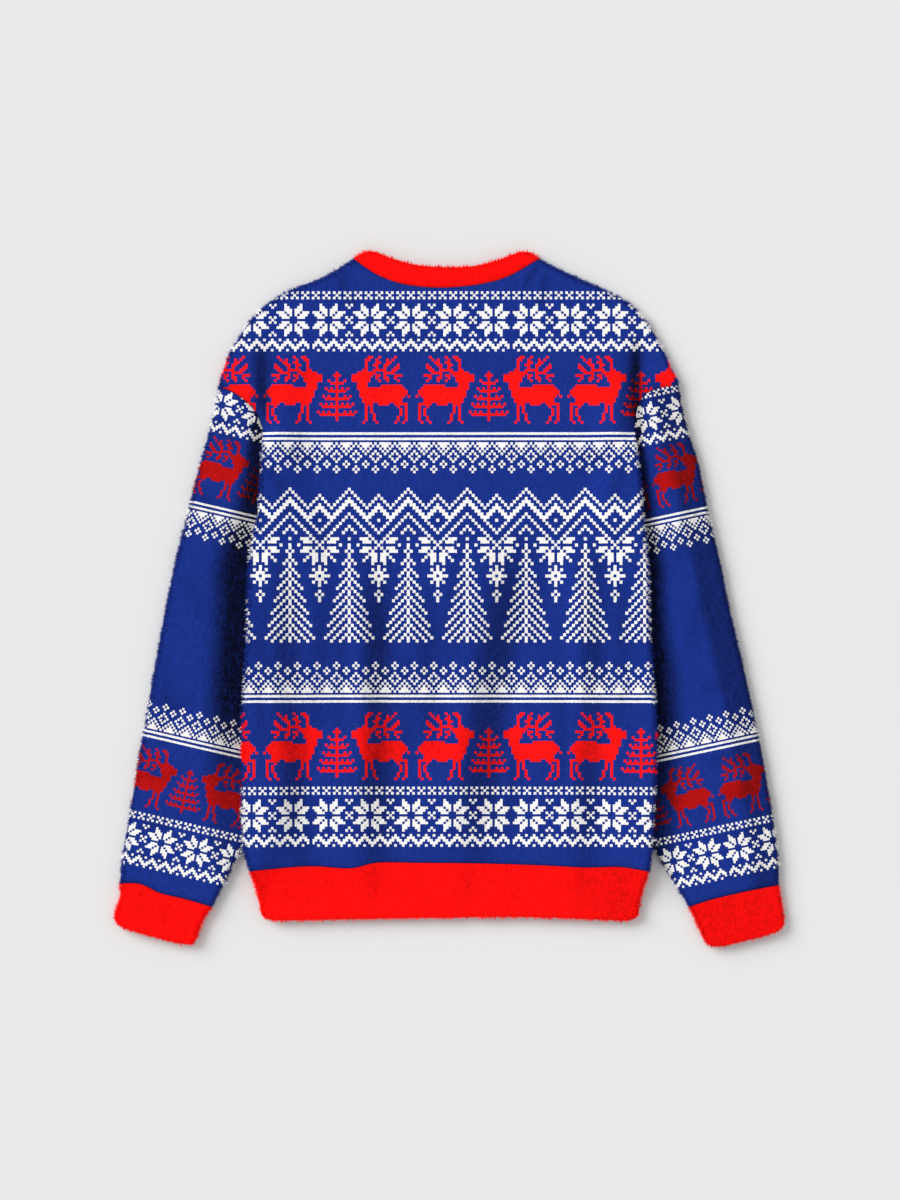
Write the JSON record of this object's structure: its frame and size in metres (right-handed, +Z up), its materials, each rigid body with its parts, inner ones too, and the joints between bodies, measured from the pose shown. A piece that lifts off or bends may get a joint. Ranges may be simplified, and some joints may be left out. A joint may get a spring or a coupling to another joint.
{
  "type": "christmas sweater laid flat",
  "caption": "Long-sleeved plush pullover with a traditional reindeer and fir pattern, ribbed neck, cuffs and hem, laid flat with its back up.",
  "frame": {"origin": "on the surface it lies on, under the middle of the laid-out garment's box", "axes": "+Z up out of the surface through the back of the garment, +Y towards the neck, +X to the viewer's right"},
  "size_m": [0.7034, 0.7298, 0.0179],
  "materials": {
    "printed_fleece": "soft plush pile, printed",
    "red_rib": "soft plush pile"
  },
  "bodies": {
    "root": {"back": "printed_fleece", "front": "printed_fleece", "sleeve_left": "printed_fleece", "sleeve_right": "printed_fleece", "neck_rib": "red_rib", "hem_rib": "red_rib", "cuff_left": "red_rib", "cuff_right": "red_rib"}
  },
  "joints": []
}
